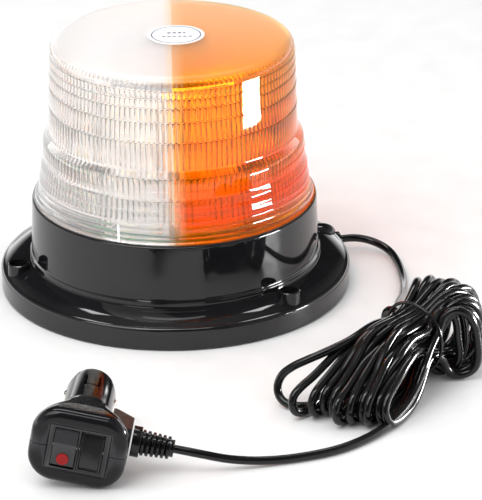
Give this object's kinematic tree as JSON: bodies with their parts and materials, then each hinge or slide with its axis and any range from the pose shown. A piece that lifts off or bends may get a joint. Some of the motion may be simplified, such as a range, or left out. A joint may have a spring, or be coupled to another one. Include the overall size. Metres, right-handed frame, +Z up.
{
  "type": "led warning beacon",
  "caption": "Two-colour fluted warning beacon on a round magnetic screw-down base, with a tied coil of cord and an accessory-socket plug carrying rocker switches.",
  "frame": {"origin": "centre of the base's underside, on the surface that it stands on", "axes": "+Z up along the lens axis, -Y the front where the plug lies, clear half of the lens on -X and amber half on +X"},
  "size_m": [0.2201, 0.2966, 0.1184],
  "materials": {
    "housing_black": "injection moulded, polished",
    "pad_rubber": "fine matt moulded rubber",
    "zinc_steel": "zinc plated",
    "ferrite": "sintered ferrite",
    "screw_steel": "zinc plated",
    "lens_amber": "fluted transparent amber",
    "lens_clear": "fluted transparent clear",
    "label": "printed film",
    "gasket_rubber": "soft seal",
    "board_green": "solder mask",
    "can_aluminium": "sleeved cans",
    "component_black": "moulded",
    "connector_nylon": "natural nylon",
    "tower_aluminium": "extruded",
    "board_white": "white solder mask",
    "led_white": "phosphor dome",
    "led_amber": "clear package, amber chip",
    "cable_pvc": "soft PVC",
    "plug_black": "satin moulded",
    "switch_black": "satin moulded",
    "indicator_red": "diffused red",
    "contact_nickel": "nickel plated brass",
    "spring_steel": "drawn wire",
    "fuse_glass": "clear"
  },
  "bodies": {
    "beacon_base": {"housing": "housing_black", "rubber_pad": "pad_rubber", "base_plate": "zinc_steel", "magnet_pot": "zinc_steel", "ring_magnet": "ferrite", "base_screws": "screw_steel", "board_screws": "screw_steel", "tower_screws": "screw_steel", "plug_screws": "screw_steel", "rocker_pins": "screw_steel", "lens_gasket": "gasket_rubber", "driver_board": "board_green", "plug_board": "board_green", "capacitors": "can_aluminium", "inductor": "component_black", "controller_chip": "component_black", "driver_transistors": "component_black", "cable_connector": "connector_nylon", "led_tower": "tower_aluminium", "tower_cap": "tower_aluminium", "led_boards_white": "board_white", "led_boards_amber": "board_white", "leds_white": "led_white", "leds_amber": "led_amber", "cable_grommet": "cable_pvc", "inner_cable": "cable_pvc", "cord_lead": "cable_pvc", "cord_tail": "cable_pvc", "cord_hank": "cable_pvc", "cord_tie": "cable_pvc", "strain_relief": "cable_pvc", "plug_shell_lower": "plug_black", "plug_shell_upper": "plug_black", "plug_barrel": "plug_black", "switch_housing": "switch_black", "spring_seat": "contact_nickel"},
    "lens": {"lens_clear": "lens_clear", "lens_amber": "lens_amber", "lens_label": "label"},
    "power_rocker": {"power_rocker": "switch_black", "indicator_lens": "indicator_red"},
    "mode_rocker": {"mode_rocker": "switch_black"},
    "nose_cap": {"nose_cap": "plug_black"},
    "tip_contact": {"tip_contact": "contact_nickel", "fuse_glass": "fuse_glass", "fuse_caps": "contact_nickel", "fuse_spring": "spring_steel"},
    "side_contact_left": {"side_contact_left": "contact_nickel"},
    "side_contact_right": {"side_contact_right": "contact_nickel"}
  },
  "joints": [
    {"name": "lens_twist", "type": "hinge", "parent": "beacon_base", "child": "lens", "pos_m": [0, 0, 0.043], "axis": [0, 0, 1], "range_deg": [0, 20]},
    {"name": "power_rocker_tilt", "type": "hinge", "parent": "beacon_base", "child": "power_rocker", "pos_m": [-0.04588, -0.20935, 0.01893], "axis": [0.9779, -0.0856, -0.1908], "range_deg": [0, 12]},
    {"name": "mode_rocker_tilt", "type": "hinge", "parent": "beacon_base", "child": "mode_rocker", "pos_m": [-0.03532, -0.21027, 0.01687], "axis": [0.9779, -0.0856, -0.1908], "range_deg": [0, 12], "stiffness_Nm_per_rad": 0.03, "springref_deg": -5.73},
    {"name": "nose_cap_turn", "type": "hinge", "parent": "beacon_base", "child": "nose_cap", "pos_m": [-0.03593, -0.15642, 0.0179], "axis": [0.0872, 0.9962, 0], "range_deg": [0, 270]},
    {"name": "tip_contact_push", "type": "slide", "parent": "beacon_base", "child": "tip_contact", "axis": [-0.0872, -0.9962, 0], "range_m": [0, 0.003], "stiffness_N_per_m": 800, "springref_m": -0.002},
    {"name": "side_contact_left_push", "type": "slide", "parent": "beacon_base", "child": "side_contact_left", "axis": [0.9779, -0.0856, -0.1908], "range_m": [0, 0.0012], "stiffness_N_per_m": 1500, "springref_m": -0.0005},
    {"name": "side_contact_right_push", "type": "slide", "parent": "beacon_base", "child": "side_contact_right", "axis": [-0.9779, 0.0856, 0.1908], "range_m": [0, 0.0012], "stiffness_N_per_m": 1500, "springref_m": -0.0005}
  ]
}
